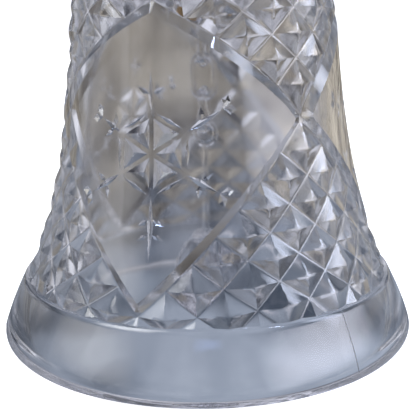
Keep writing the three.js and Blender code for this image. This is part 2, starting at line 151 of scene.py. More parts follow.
# %% Outline of the glass
RIM_ROUND = 1.3
BAND_HEIGHT = 9.7
BAND_TOP_RADIUS = MOUTH_RADIUS - 3.5
BAND_BULGE = 1.25
WAIST_RADIUS = 18.3
FLARE_LENGTH = 21
SHOULDER_HEIGHT = GLASS_HEIGHT - 13
CROWN_RADIUS = 8
WALL = 3.6


def flare_radius(height):
    shrink = math.exp(-(height - BAND_HEIGHT) / FLARE_LENGTH)
    return WAIST_RADIUS + (BAND_TOP_RADIUS - WAIST_RADIUS) * shrink


SHOULDER_REACH = math.sqrt(1 - (CROWN_RADIUS / flare_radius(GLASS_HEIGHT)) ** 2)


def outer_radius(height):
    """Radius over the tips of the diamonds."""
    if height < BAND_HEIGHT:
        up = max(0, (height - RIM_ROUND) / (BAND_HEIGHT - RIM_ROUND))
        return MOUTH_RADIUS - (MOUTH_RADIUS - BAND_TOP_RADIUS) * up**BAND_BULGE
    rise = max(0, (height - SHOULDER_HEIGHT) / (GLASS_HEIGHT - SHOULDER_HEIGHT))
    return flare_radius(height) * math.sqrt(1 - (SHOULDER_REACH * rise) ** 2)


print("radius at 10, 30, 50 mm:", [round(outer_radius(h), 2) for h in (10, 30, 50)])

# %% [markdown]
# ## Rows of diamonds
# Two sets of slanting grooves cross, and what stands between them is a field of small pyramids.
# A field starts as a point where two panels' side corners meet, and each row away from it holds
# one diamond more. Here the skin is only marked out: each point notes how many steps it is along
# the left and right groove directions. A node tree cuts the relief afterwards, so its depth and
# its roundings stay free to change.

# %% Rows of diamonds
PANELS = 3
ZONE_SPAN = 360 / PANELS
HALF_SPAN = ZONE_SPAN / 2
PANEL_CORNER_HEIGHT = 35
LOWER_FIELD = {
    "rows": 7,
    "last_level": 7.5,
    "edge_height": BAND_HEIGHT + 1,
    "last_height": BAND_HEIGHT,
    "widening": 0.87,
    "dropping": 0.95,
    "middle_lift": 1.2,
}
UPPER_FIELD = {
    "rows": 5,
    "last_level": 6.5,
    "edge_height": GLASS_HEIGHT - 14.8,
    "last_height": GLASS_HEIGHT - 7.5,
    "widening": 1.07,
    "dropping": 0.74,
    "middle_lift": 2.6,
}

# Mesh steps along one side of a diamond: close together beside the grooves and the tips, where
# the glass is rounded. They mirror about a quarter and a half, so that half rows end level.
QUARTER = [0, 0.025, 0.07, 0.15, 0.25]
HALF = QUARTER + [0.5 - q for q in reversed(QUARTER[:-1])]
SIDE = HALF + [1 - h for h in reversed(HALF[:-1])]
STEPS = len(SIDE) - 1


def side_step(k):
    whole, part = divmod(k, STEPS)
    return whole + SIDE[part]


def zone_half(field, level):
    """Half the width of a zone at a level, in degrees."""
    share = level / field["rows"]
    return HALF_SPAN * (share ** field["widening"] if share <= 1 else share)


def row_height(field, level, turn):
    in_middle = (1 - math.cos(math.radians(PANELS * turn))) / 2
    if level <= field["rows"]:
        share = level / field["rows"]
        fall = (field["edge_height"] - PANEL_CORNER_HEIGHT) * share ** field["dropping"]
        return PANEL_CORNER_HEIGHT + fall + field["middle_lift"] * share**3 * in_middle
    beyond = (level - field["rows"]) / (field["last_level"] - field["rows"])
    edge = field["edge_height"] + (field["last_height"] - field["edge_height"]) * beyond
    return edge + field["middle_lift"] * (1 - beyond) * in_middle


print("steps along a diamond:", STEPS)

# %% [markdown]
# ## A skin to collect points and faces
# The fields, the panels and the turned rings must share their border points, or the glass would
# leak. The skin keeps each point once, found again by its place, and sews two rows of unequal
# counts with triangles, always taking the nearer point next.


# %% Skin
class Skin:
    """Points and faces of the glass, with what the cutting needs to know at each point."""

    def __init__(self):
        self.points, self.faces, self.marks, self.known = [], [], [], {}

    def point(self, turn, radius, height, left=0.0, right=0.0, cut=0.0, carved=0.0):
        xyz = place(turn, radius, height)
        key = tuple(round(v, 3) for v in xyz)
        if key not in self.known:
            self.known[key] = len(self.points)
            self.points.append(xyz)
            self.marks.append((left, right, cut, carved))
        return self.known[key]

    def face(self, a, b, c):
        if a != b and b != c and a != c:
            self.faces.append((a, b, c))

    def sew(self, lower, upper):
        """Joins two rows of (turn, point), both in order of turn."""
        a = b = 0
        while a < len(lower) - 1 or b < len(upper) - 1:
            next_lower = lower[a + 1][0] if a < len(lower) - 1 else math.inf
            next_upper = upper[b + 1][0] if b < len(upper) - 1 else math.inf
            if next_lower <= next_upper + 1e-9:
                self.face(lower[a][1], lower[a + 1][1], upper[b][1])
                a += 1
            else:
                self.face(lower[a][1], upper[b + 1][1], upper[b][1])
                b += 1


skin = Skin()
print("empty skin:", len(skin.points), "points")

# %% [markdown]
# ## Laying the rows
# Each zone is walked row by row. Where a point is on the side of a groove decides which way the
# small squares are split, so that the ridges of every pyramid run straight.


# %% Laying the rows
def lattice_point(field, middle, i, j):
    """(turn, point) at i and j mesh steps along the left and right edges of a zone."""
    left, right = side_step(i), side_step(j)
    level = left + right
    turn = middle + ((right - left) / level * zone_half(field, level) if level else 0)
    height = row_height(field, level, turn)
    return turn, skin.point(turn, outer_radius(height), height, left, right, 1.0)


def is_inside(field, i, j):
    full = field["rows"] * STEPS
    return (i >= 0 and j >= 0) if i + j < full else -full < j - i <= full


def lay_zone(field, middle, downwards):
    last = round(field["last_level"] * STEPS)
    reach = last + field["rows"] * STEPS
    for level in range(last):
        for i in range(-last, reach + 1):
            j = level - i
            if not is_inside(field, i, j):
                continue
            near, left, right = (
                lattice_point(field, middle, a, b)[1] for a, b in ((i, j), (i + 1, j), (i, j + 1))
            )
            triangles = [(near, left, right)]
            if level + 2 <= last:
                far = lattice_point(field, middle, i + 1, j + 1)[1]
                # The split follows the pyramid's ridges, from its tip to its corners.
                along = (i % STEPS < STEPS // 2) == (j % STEPS < STEPS // 2)
                if along:
                    triangles = [(near, left, far), (near, far, right)]
                else:
                    triangles = [(near, left, right), (left, far, right)]
            for a, b, c in triangles:
                skin.face(*((a, b, c) if downwards else (a, c, b)))


def field_end(field):
    """The last row of a field, right round the bell."""
    last, full = round(field["last_level"] * STEPS), field["rows"] * STEPS
    row = []
    for k in range(PANELS):
        for i in range(last + full, -last - 1, -1):
            if -full < last - 2 * i <= full:
                row.append(lattice_point(field, HALF_SPAN + ZONE_SPAN * k, i, last - i))
    return row + [(row[0][0] + 360, row[0][1])]


for k in range(PANELS):
    lay_zone(LOWER_FIELD, HALF_SPAN + ZONE_SPAN * k, True)
    lay_zone(UPPER_FIELD, HALF_SPAN + ZONE_SPAN * k, False)
print("diamonds marked out:", len(skin.points), "points")

# %% [markdown]
# ## Panels with a snowflake
# Between the fields lie three smooth lozenge panels with a bevelled edge, and a wheel-cut
# snowflake in each. A wheel leaves a pit with flat sides that meet in a point, so each cut here
# is a many-sided outline with one deepest point. The panel is triangulated flat, with every
# outline and pit edge kept as a real edge, and is then laid on the curved glass.

# %% Snowflake cuts
PANEL_BEVEL = 1.3
PANEL_DEPTH = 0.15
CUT_DEPTH = 1.0
FLAKE_TURN = 1.2
FLAKE_HEIGHT = 31.6
FLAKE_TILT = 2
HEXAGON = 5.1
ARMS = {90: 10.6, 30: 10.8, 330: 10.5, 270: 13.5, 210: 11.1, 150: 8.9}


def polar(angle, radius):
    return np.array((math.cos(math.radians(angle)), math.sin(math.radians(angle)))) * radius


def kite(start, end, width, depth, belly=0.4):
    """A long pit from start to end, widest and deepest at `belly` of its length."""
    along = end - start
    side = np.array((-along[1], along[0])) / np.linalg.norm(along) * width / 2
    apex = start + along * belly
    return [start, apex - side, end, apex + side], apex, depth


def snowflake():
    cuts = []
    for k in range(6):
        a, b = polar(90 + 60 * k, HEXAGON), polar(150 + 60 * k, HEXAGON)
        middle = (a + b) / 3
        pit = [middle + (corner - middle) * 0.8 for corner in (np.zeros(2), a, b)]
        cuts.append((pit, middle, 0.8))
        out = (a + b) / np.linalg.norm(a + b)
        cuts.append(kite(a * 0.9 + b * 0.1 + out * 0.45, a * 0.1 + b * 0.9 + out * 0.45, 0.6, 0.35, 0.5))
    for angle, reach in ARMS.items():
        cuts.append(kite(polar(angle, HEXAGON + 0.5), polar(angle, reach), 0.9, 0.45))
        bars = (0.62, 0.76) if angle == 270 else (0.72,)
        for share in bars:
            joint = polar(angle, reach * share)
            for lean in (-62, 62):
                start = joint + polar(angle + lean, 0.35)
                cuts.append(kite(start, joint + polar(angle + lean, 2.1), 0.8, 0.4))
        if angle % 180 != 90:
            for lean in (-38, 38):
                start = polar(angle, reach + 0.2)
                cuts.append(kite(start, start + polar(angle + lean, 1.9), 1.3, 0.45, 0.6))
    return cuts


def sides_of(outline):
    return [(outline[k], outline[(k + 1) % len(outline)]) for k in range(len(outline))]


def to_side(point, a, b):
    """Distance from a point to the line through a and b, more than 0 on its left."""
    along = b - a
    return (along[0] * (point[1] - a[1]) - along[1] * (point[0] - a[0])) / np.linalg.norm(along)


def turned_flake(cuts):
    """The cuts in their place on the panel, with outlines that run anticlockwise."""
    tilt = math.radians(FLAKE_TILT)
    spin = np.array(((math.cos(tilt), -math.sin(tilt)), (math.sin(tilt), math.cos(tilt))))
    centre = np.array((math.radians(FLAKE_TURN) * outer_radius(FLAKE_HEIGHT), FLAKE_HEIGHT))
    made = []
    for outline, apex, depth in cuts:
        outline = [spin @ p + centre for p in outline]
        apex = spin @ apex + centre
        if to_side(apex, outline[0], outline[1]) < 0:
            outline.reverse()
        made.append((outline, apex, depth))
    return made


flake = turned_flake(snowflake())


def carved_at(point):
    """How deep the snowflake is at a point of the panel, in millimetres."""
    deepest = 0
    for outline, apex, depth in flake:
        if np.linalg.norm(point - apex) > 6:
            continue
        share = min(to_side(point, a, b) / to_side(apex, a, b) for a, b in sides_of(outline))
        deepest = max(deepest, depth * share)
    return deepest


print("snowflake cuts:", len(flake))

# %% [markdown]
# ## Laying the panels
# A constrained triangulation keeps the outline, the bevel's inner edge and every pit's edges,
# and fills the smooth rest with an even net of points. It runs once on the flat pattern, and its
# result is laid on the glass three times.

# %% Panels
FILL = 1.1  # spacing of the points between the cuts
flake_sides = np.array([side for outline, _, _ in flake for side in sides_of(outline)])


def panel_outline():
    """(turn, height) of the panel's outline, anticlockwise from its bottom corner."""
    right = []
    for field, order in ((LOWER_FIELD, -1), (UPPER_FIELD, 1)):
        levels = [side_step(k) for k in range(field["rows"] * STEPS + 1)][::order]
        for level in levels if field is LOWER_FIELD else levels[1:]:
            turn = HALF_SPAN - zone_half(field, level)
            right.append((turn, row_height(field, level, turn)))
    left = [(-turn, height) for turn, height in right[-2:0:-1]]
    return right + left


def gap_to(sides, points):
    """Distance from each point to the nearest of the sides."""
    starts, ends = sides[:, 0], sides[:, 1]
    along = ends - starts
    share = ((points[:, None] - starts) * along).sum(2) / (along**2).sum(1)
    nearest = starts + np.clip(share, 0, 1)[..., None] * along
    return np.linalg.norm(points[:, None] - nearest, axis=2).min(1)


def lay_panels():
    edge = panel_outline()
    flat = np.array([(math.radians(t) * outer_radius(h), h) for t, h in edge])
    edge_sides = np.stack((flat, np.roll(flat, -1, 0)), 1)
    along = np.roll(flat, -1, 0) - np.roll(flat, 1, 0)
    inward = np.stack((-along[:, 1], along[:, 0]), 1) / np.linalg.norm(along, axis=1)[:, None]
    bevel = flat + inward * PANEL_BEVEL
    bevel = bevel[gap_to(edge_sides, bevel) > PANEL_BEVEL - 0.01]
    low, high = flat.min(0), flat.max(0)
    rows = np.arange(low[1], high[1], FILL * 0.87)
    fill = np.array(
        [(x + (k % 2) * FILL / 2, y) for k, y in enumerate(rows) for x in np.arange(low[0], high[0], FILL)]
    )
    fill = fill[np.array([is_in_outline(flat, p) for p in fill])]
    fill = fill[gap_to(edge_sides, fill) > PANEL_BEVEL + 0.5]
    fill = fill[gap_to(flake_sides, fill) > 0.4]
    fill = np.array([p for p in fill if carved_at(p) <= 0])

    points = [Vector(p) for p in flat]
    lines = [(k, (k + 1) % len(flat)) for k in range(len(flat))]
    first = len(points)
    points += [Vector(p) for p in bevel]
    lines += [(first + k, first + (k + 1) % len(bevel)) for k in range(len(bevel))]
    for outline, apex, _ in flake:
        first = len(points)
        points += [Vector(p) for p in (*outline, apex)]
        count = len(outline)
        lines += [(first + k, first + (k + 1) % count) for k in range(count)]
        lines += [(first + k, first + count) for k in range(count)]
    points += [Vector(p) for p in fill]
    verts, _, faces, origin, _, _ = delaunay_2d_cdt(points, lines, [], 1, 1e-5)
    flat_points = np.array([tuple(v) for v in verts])
    from_edge = gap_to(edge_sides, flat_points)
    for k in range(PANELS):
        ids = []
        for at, (x, y) in enumerate(flat_points):
            source = min(origin[at]) if origin[at] else len(flat)
            if source < len(flat):
                turn, height = edge[source]
                ids.append(skin.point(turn + ZONE_SPAN * k, outer_radius(height), height))
                continue
            radius = outer_radius(y)
            share = min(1, from_edge[at] / PANEL_BEVEL)
            depth = CUT_DEPTH + (PANEL_DEPTH - CUT_DEPTH) * share + max(0, carved_at((x, y)))
            ids.append(skin.point(math.degrees(x / radius) + ZONE_SPAN * k, radius, y, carved=depth))
        for a, b, c in faces:
            skin.face(ids[a], ids[b], ids[c])


def is_in_outline(outline, point):
    x, y = point
    nearby = np.roll(outline, -1, 0)
    crosses = (outline[:, 1] > y) != (nearby[:, 1] > y)
    rise = np.where(crosses, nearby[:, 1] - outline[:, 1], 1)
    at = outline[:, 0] + (y - outline[:, 1]) * (nearby[:, 0] - outline[:, 0]) / rise
    return np.count_nonzero(crosses & (at > x)) % 2 == 1


lay_panels()
print("with panels:", len(skin.points), "points")

# %% [markdown]
# ## Band, rim, hollow and crown
# The rest of the shell is turned: a rounded rim, a smooth hollow, the hole for the hanger and
# the shoulder. It is a stack of rings, sewn to the last row of each field of diamonds. The glass
# was pressed in a three-part mould before it was cut, so a fine seam stands on the band in line
# with the panels' side corners.

# %% Band, rim, hollow and crown
HOLE_RADIUS = 2.9
CROWN_THICKNESS = 6
HOLLOW_TOP = GLASS_HEIGHT - CROWN_THICKNESS
HOLLOW_FULLNESS = 0.6
HOLE_CHAMFER = 0.3
SEAM_WIDTH = 0.28
SEAM_HEIGHT = 0.1
COLUMNS = 240


def arc(middle, radius, start, end, steps):
    return [
        (
            middle[0] + radius * math.cos(math.radians(start + (end - start) * k / steps)),
            middle[1] + radius * math.sin(math.radians(start + (end - start) * k / steps)),
        )
        for k in range(steps + 1)
    ]


def column_turns():
    """Turns of the columns, with close ones at the three mould seams."""
    turns = {360 * k / COLUMNS for k in range(COLUMNS)}
    width = math.degrees(SEAM_WIDTH / 2 / MOUTH_RADIUS)
    for k in range(PANELS):
        turns |= {HALF_SPAN + ZONE_SPAN * k + width * s for s in (-1, -0.4, 0.4, 1)}
    return sorted(turns)


def ring(radius, height, seam=0.0):
    row = []
    for turn in TURNS:
        off = abs((turn - HALF_SPAN + ZONE_SPAN / 2) % ZONE_SPAN - ZONE_SPAN / 2)
        near = math.radians(off) * radius < SEAM_WIDTH * 0.3
        raised = seam if near else 0.0
        row.append((turn, skin.point(turn, radius + raised, height)))
    return row + [(row[0][0] + 360, row[0][1])]


def from_front(row):
    """A closed row with its turns from 0 to 360, starting near the front."""
    turns = sorted({(round(turn % 360, 9), point) for turn, point in row})
    return turns + [(turns[0][0] + 360, turns[0][1])]


def inner_radius(height):
    return outer_radius(height) - WALL


TURNS = column_turns()
print("columns round the bell:", len(TURNS))

# %% [markdown]
# ## The section of the turned glass
# The section runs down the band, round the rim, up the hollow, through the hole and out over the
# shoulder. Rings are close together only where the outline curves.

# %% Section of the turned glass
LEDGE = 0.35  # flat shelf where the band meets the diamonds
EDGE_ROUND = 0.3  # rounding of the band's upper edge
RIM_STEPS = 8
inner_top = HOLLOW_TOP * 0.86
rim_inner = MOUTH_RADIUS - WALL
section = [
    (outer_radius(BAND_HEIGHT) - LEDGE, BAND_HEIGHT, 0),
    (outer_radius(BAND_HEIGHT) - EDGE_ROUND / 3, BAND_HEIGHT - EDGE_ROUND / 5, 0),
    (outer_radius(BAND_HEIGHT - EDGE_ROUND), BAND_HEIGHT - EDGE_ROUND, SEAM_HEIGHT),
]
band_top = BAND_HEIGHT - 2 * EDGE_ROUND
for share in np.linspace(1, 0, 13)[:-1]:
    height = RIM_ROUND + (band_top - RIM_ROUND) * share
    section.append((outer_radius(height), height, SEAM_HEIGHT if height > RIM_ROUND + 0.5 else 0))
for middle, start in ((MOUTH_RADIUS - RIM_ROUND, 0), (rim_inner + RIM_ROUND, -90)):
    section += [(r, z, 0) for r, z in arc((middle, RIM_ROUND), RIM_ROUND, start, start - 90, RIM_STEPS)]
section += [(inner_radius(h), h, 0) for h in np.linspace(RIM_ROUND + 1, inner_top, 26)]
dome = inner_radius(inner_top) - HOLE_RADIUS - HOLE_CHAMFER
for angle in range(8, 90, 8):
    r = HOLE_RADIUS + HOLE_CHAMFER + dome * math.cos(math.radians(angle)) ** HOLLOW_FULLNESS
    section.append((r, inner_top + (HOLLOW_TOP - inner_top) * math.sin(math.radians(angle)), 0))
section += [
    (HOLE_RADIUS + HOLE_CHAMFER, HOLLOW_TOP, 0),
    (HOLE_RADIUS, HOLLOW_TOP + HOLE_CHAMFER, 0),
    (HOLE_RADIUS, GLASS_HEIGHT - HOLE_CHAMFER, 0),
    (HOLE_RADIUS + HOLE_CHAMFER, GLASS_HEIGHT, 0),
    (CROWN_RADIUS - 0.8, GLASS_HEIGHT, 0),
]
SHOULDER_STEPS = (1, 0.98, 0.94, 0.85, 0.7, 0.5, 0.3, 0.14, 0.05)  # close where it curves most
pattern_end = UPPER_FIELD["last_height"]
for share in SHOULDER_STEPS:
    height = pattern_end + (GLASS_HEIGHT - pattern_end) * share
    section.append((outer_radius(height), height, 0))
print("rings in the section:", len(section))

# %% [markdown]
# ## Sewing the skin together
# Each ring is sewn to the one before it, from the last row of the lower diamonds to the last row
# of the upper ones, which closes the glass.

# %% Sewing the skin together
above = from_front(field_end(LOWER_FIELD))
for radius, height, seam in section:
    below = ring(radius, height, seam)
    skin.sew(below, above)
    above = below
skin.sew(from_front(field_end(UPPER_FIELD)), above)
print("whole skin:", len(skin.points), "points,", len(skin.faces), "faces")

# %% [markdown]
# ## Cutting the relief with nodes
# The tree folds the two step counts into the distance from the nearest groove, rounds it at the
# grooves and at the tips, and pushes each point towards the axis by what the wheel took away.
# A rule like this is easier to tune in nodes than in a finished mesh.


# %% Cutting tree
def cutting_tree():
    tree = bpy.data.node_groups.new("cut_diamonds", "GeometryNodeTree")
    face = tree.interface
    face.new_socket("Geometry", in_out="INPUT", socket_type="NodeSocketGeometry")
    for name in ("Cut Depth", "Groove Round", "Tip Round"):
        face.new_socket(name, in_out="INPUT", socket_type="NodeSocketFloat")
    face.new_socket("Glass", in_out="INPUT", socket_type="NodeSocketMaterial")
    face.new_socket("Geometry", in_out="OUTPUT", socket_type="NodeSocketGeometry")
    given = add_node(tree, "NodeGroupInput").outputs

    # 0 on a groove and 1 on a tip, along each of the two directions
    folds = []
    for name in ("left", "right"):
        steps = add_node(tree, "GeometryNodeInputNamedAttribute", {"Name": name})
        fold = add_node(tree, "ShaderNodeMath", {0: steps.outputs[0], 1: 0.5}, operation="PINGPONG")
        folds.append(fold.outputs[0])
    nearer = add_node(tree, "ShaderNodeMath", {0: folds[0], 1: folds[1]}, operation="MINIMUM")
    rise = add_node(tree, "ShaderNodeMath", {0: nearer.outputs[0], 1: 2.0}, operation="MULTIPLY")

    # the greater of a value and its opposite, with a soft change between them, rounds the corner
    value = rise.outputs[0]
    for width, last in (("Groove Round", False), ("Tip Round", True)):
        opposite = add_node(tree, "ShaderNodeMath", {0: value, 1: -1.0}, operation="MULTIPLY")
        soft = add_node(
            tree,
            "ShaderNodeMath",
            {0: value, 1: opposite.outputs[0], 2: given[width]},
            operation="SMOOTH_MAX",
        )
        value = soft.outputs[0]
        if not last:
            fall = add_node(tree, "ShaderNodeMath", {0: 1.0, 1: value}, operation="SUBTRACT")
            value = fall.outputs[0]
    lost = add_node(tree, "ShaderNodeMath", {0: value, 1: given["Cut Depth"]}, operation="MULTIPLY")

    cut = add_node(tree, "GeometryNodeInputNamedAttribute", {"Name": "cut"})
    in_field = add_node(
        tree, "ShaderNodeMath", {0: lost.outputs[0], 1: cut.outputs[0]}, operation="MULTIPLY"
    )
    carved = add_node(tree, "GeometryNodeInputNamedAttribute", {"Name": "carved"})
    pits = add_node(tree, "ShaderNodeMath", {0: carved.outputs[0], 1: MM}, operation="MULTIPLY")
    depth = add_node(
        tree, "ShaderNodeMath", {0: in_field.outputs[0], 1: pits.outputs[0]}, operation="ADD"
    ).outputs[0]

    position = add_node(tree, "GeometryNodeInputPosition").outputs[0]
    level = add_node(
        tree, "ShaderNodeVectorMath", {0: position, 1: (-1, -1, 0)}, operation="MULTIPLY"
    ).outputs[0]
    inwards = add_node(tree, "ShaderNodeVectorMath", {0: level}, operation="NORMALIZE").outputs[0]
    push = add_node(tree, "ShaderNodeVectorMath", {0: inwards, "Scale": depth}, operation="SCALE")
    moved = add_node(
        tree, "GeometryNodeSetPosition", {"Geometry": given["Geometry"], "Offset": push.outputs[0]}
    )
    real = add_node(tree, "GeometryNodeRealizeInstances", {"Geometry": moved.outputs[0]})
    done = add_node(
        tree, "GeometryNodeSetMaterial", {"Geometry": real.outputs[0], "Material": given["Glass"]}
    )
    add_node(tree, "NodeGroupOutput", {"Geometry": done.outputs[0]})
    return tree


print("cutting depth:", CUT_DEPTH, "mm")

# %% [markdown]
# ## Taking the result of modifiers
# An export keeps plain meshes only. So what the modifiers make is taken as a new mesh, and the
# object that carried them is removed.


# %% Taking the result of modifiers
def made_plain(source, name):
    """The result of an object's modifiers as a plain mesh object."""
    graph = bpy.context.evaluated_depsgraph_get()
    mesh = bpy.data.meshes.new_from_object(source.evaluated_get(graph))
    mesh.name = name
    bpy.data.objects.remove(source)
    plain = bpy.data.objects.new(name, mesh)
    bpy.context.scene.collection.objects.link(plain)
    return plain


def set_inputs(modifier, **values):
    """Sets a modifier's inputs by the identifiers of their sockets."""
    for item in modifier.node_group.interface.items_tree:
        key = item.name.lower().replace(" ", "_")
        if item.in_out == "INPUT" and key in values:
            modifier[item.identifier] = values[key]


def smooth(obj, sharp_over=30):
    obj.data.shade_smooth()
    obj.data.set_sharp_from_angle(angle=math.radians(sharp_over))


# %% [markdown]
# ## Lead crystal
# Lead crystal bends light more than window glass, with an index near 1.55, and a thick piece
# has a faint grey-lilac cast. The cut outside is polished, so it is all but perfectly smooth. The
# hollow keeps the skin that the plunger pressed, which softens what is seen through it.


# %% Lead crystal
RIPPLE = 1 / 150  # metres between the slow ripples that polishing leaves, 6.7 mm


def lead_crystal(name, tint, index, roughness=0.02):
    material = bpy.data.materials.new(name)
    material.use_nodes = True
    tree = material.node_tree
    tree.nodes.clear()
    position = add_node(tree, "ShaderNodeTexCoord").outputs["Object"]
    ripple = add_node(tree, "ShaderNodeTexNoise", {"Vector": position, "Scale": 1 / RIPPLE, "Detail": 2.0})
    bump = add_node(
        tree,
        "ShaderNodeBump",
        {"Strength": 0.12, "Distance": 0.4 * MM, "Height": ripple.outputs["Fac"]},
    )
    glass = add_node(
        tree,
        "ShaderNodeBsdfPrincipled",
        {
            "Base Color": colour(tint),
            "Roughness": roughness,
            "IOR": index,
            "Transmission Weight": 1.0,
            "Normal": bump.outputs[0],
        },
    )
    add_node(tree, "ShaderNodeOutputMaterial", {"Surface": glass.outputs[0]})
    return material


crystal = lead_crystal("lead_crystal", "#f0f0f3", 1.54)
acrylic = lead_crystal("clear_acrylic", "#fcfcfc", 1.49)
hollow_crystal = lead_crystal("plunger_pressed_crystal", "#f0f0f3", 1.54, 0.12)
print("clear materials:", crystal.name, acrylic.name, hollow_crystal.name)

# %% [markdown]
# ## Cutting the glass
# The marked skin now goes through the tree. Its marks become attributes, the result is taken as
# a plain mesh, and the faces of the hollow get the pressed finish by where they lie.

# %% Cut bell

marked = mesh_object("marked_glass", skin.points, skin.faces)
for column, name in enumerate(("left", "right", "cut", "carved")):
    layer = marked.data.attributes.new(name, "FLOAT", "POINT")
    layer.data.foreach_set("value", np.array(skin.marks, np.float32)[:, column].copy())
cutter = marked.modifiers.new("cut_diamonds", "NODES")
cutter.node_group = cutting_tree()
GROOVE_ROUND = 0.2  # as shares of a diamond's rise
TIP_ROUND = 1.3
set_inputs(
    cutter, cut_depth=CUT_DEPTH * MM, groove_round=GROOVE_ROUND, tip_round=TIP_ROUND, glass=crystal
)
bell_glass = made_plain(marked, "bell_glass")
smooth(bell_glass, 22)
bell_glass.data.materials.append(hollow_crystal)
for face in bell_glass.data.polygons:
    middle = face.center / MM
    if RIM_ROUND < middle.z < HOLLOW_TOP and middle.xy.length < outer_radius(middle.z) - WALL + 0.2:
        face.material_index = 1
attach(bell_glass, "root")
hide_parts("bell_shell")
print("bell glass:", len(bell_glass.data.polygons), "faces")

# %% [markdown]
# ## Finishes of the hanger
# The cap, its collar, the eye and the ring are stamped and turned brass with a thin gilding,
# polished but with fine rub marks and a little tarnish where a cloth doesn't reach. The nut and
# the spring washer are zinc-plated steel. The pads are soft silicone, and the chain is moulded
# in clear acrylic so that it doesn't show through the glass.


# %% Polished and plated metal
TARNISH_PATCH = 1 / 180  # metres across a soft patch, 5.6 mm


def metal(name, light, dark, roughness, grain):
    """A metal whose colour runs from light to dark in soft patches, with fine rub marks.

    The grain is the size of a rub mark in millimetres, drawn as coarse as it needs to show.
    """
    material = bpy.data.materials.new(name)
    material.use_nodes = True
    tree = material.node_tree
    tree.nodes.clear()
    spot = add_node(tree, "ShaderNodeTexCoord").outputs["Object"]
    patches = add_node(
        tree, "ShaderNodeTexNoise", {"Vector": spot, "Scale": 1 / TARNISH_PATCH, "Detail": 4.0}
    )
    worn = add_node(
        tree,
        "ShaderNodeMapRange",
        {"Value": patches.outputs["Fac"], "From Min": 0.45, "From Max": 0.72},
    )
    tint = add_node(
        tree,
        "ShaderNodeMix",
        {"Factor": worn.outputs[0], 6: colour(light), 7: colour(dark)},
        data_type="RGBA",
    )
    rubbed = add_node(
        tree, "ShaderNodeTexNoise", {"Vector": spot, "Scale": 1 / (grain * MM), "Detail": 3.0}
    )
    shine = add_node(
        tree,
        "ShaderNodeMapRange",
        {"Value": rubbed.outputs["Fac"], "To Min": roughness * 0.7, "To Max": roughness * 1.5},
    )
    bump = add_node(
        tree, "ShaderNodeBump", {"Strength": 0.15, "Distance": 0.05 * MM, "Height": rubbed.outputs["Fac"]}
    )
    skin_of_metal = add_node(
        tree,
        "ShaderNodeBsdfPrincipled",
        {
            "Base Color": tint.outputs[2],
            "Metallic": 1.0,
            "Roughness": shine.outputs[0],
            "Normal": bump.outputs[0],
        },
    )
    add_node(tree, "ShaderNodeOutputMaterial", {"Surface": skin_of_metal.outputs[0]})
    return material


gilt = metal("gilt_brass", "#d9ae58", "#8f6a2c", 0.2, 0.35)
steel = metal("zinc_plated_steel", "#c3c6ca", "#8e9196", 0.32, 0.25)
print("metals:", gilt.name, steel.name)

# %% [markdown]
# ## Soft silicone
# The pads and the sleeve are moulded silicone, which is matt and gathers a little dust. Both show
# only as a slightly uneven pale skin.

# %% Soft silicone
SILICONE_GRAIN = 1 / 1500  # metres, far coarser than the real bloom, so that it shows


def silicone():
    """Moulded silicone: matt, slightly dusty, with no shine of its own."""
    material = bpy.data.materials.new("soft_silicone")
    material.use_nodes = True
    tree = material.node_tree
    tree.nodes.clear()
    spot = add_node(tree, "ShaderNodeTexCoord").outputs["Object"]
    grain = add_node(
        tree, "ShaderNodeTexNoise", {"Vector": spot, "Scale": 1 / SILICONE_GRAIN, "Detail": 2.0}
    )
    bump = add_node(
        tree, "ShaderNodeBump", {"Strength": 0.2, "Distance": 0.05 * MM, "Height": grain.outputs["Fac"]}
    )
    dusty = add_node(
        tree,
        "ShaderNodeMix",
        {"Factor": grain.outputs["Fac"], 6: colour("#e9e6de"), 7: colour("#d9d5cb")},
        data_type="RGBA",
    )
    rubber = add_node(
        tree,
        "ShaderNodeBsdfPrincipled",
        {"Base Color": dusty.outputs[2], "Roughness": 0.6, "IOR": 1.41, "Normal": bump.outputs[0]},
    )
    add_node(tree, "ShaderNodeOutputMaterial", {"Surface": rubber.outputs[0]})
    return material


FINISHES = {
    "gilt_brass": gilt,
    "steel": steel,
    "pad": silicone(),
    "clear_acrylic": acrylic,
    "bead_crystal": crystal,
}
slots = {part["node"]: part["material_slot"] for part in frame["record"]["subparts"]}
for name, node in frame["nodes"].items():
    if slots[name] in FINISHES:
        node.data.materials.clear()
        node.data.materials.append(FINISHES[slots[name]])
print("finishes:", sorted(FINISHES))

# %% [markdown]
# ## Cap and collar
# The cap is spun from sheet, so its outline is all soft curves with a rolled rim, and the collar
# above it is turned. Both are an outline swept round the axis, with its corners rounded by arcs.


# %% Turned metal
def rounded_outline(corners, steps=5):
    """Corners as (radius, height, rounding), in order. Each rounded corner becomes a curve."""
    made = []
    for k, (radius, height, rounding) in enumerate(corners):
        here = np.array((radius, height))
        before = np.array(corners[k - 1][:2]) - here
        after = np.array(corners[(k + 1) % len(corners)][:2]) - here
        if rounding == 0:
            made.append(tuple(here))
            continue
        start = here + before / np.linalg.norm(before) * rounding
        end = here + after / np.linalg.norm(after) * rounding
        for s in np.linspace(0, 1, steps + 1):
            made.append(tuple((1 - s) ** 2 * start + 2 * s * (1 - s) * here + s**2 * end))
    return made


def turned(name, outline, segments=96):
    """A closed outline of (radius, height) swept round Z."""
    count = len(outline)
    points = [place(360 * k / segments, r, z) for k in range(segments) for r, z in outline]
    faces = []
    for k in range(segments):
        here, there = k * count, (k + 1) % segments * count
        for a in range(count):
            b = (a + 1) % count
            faces.append((here + a, there + a, there + b, here + b))
    made = mesh_object(name, points, faces)
    face_outwards(made)
    return made


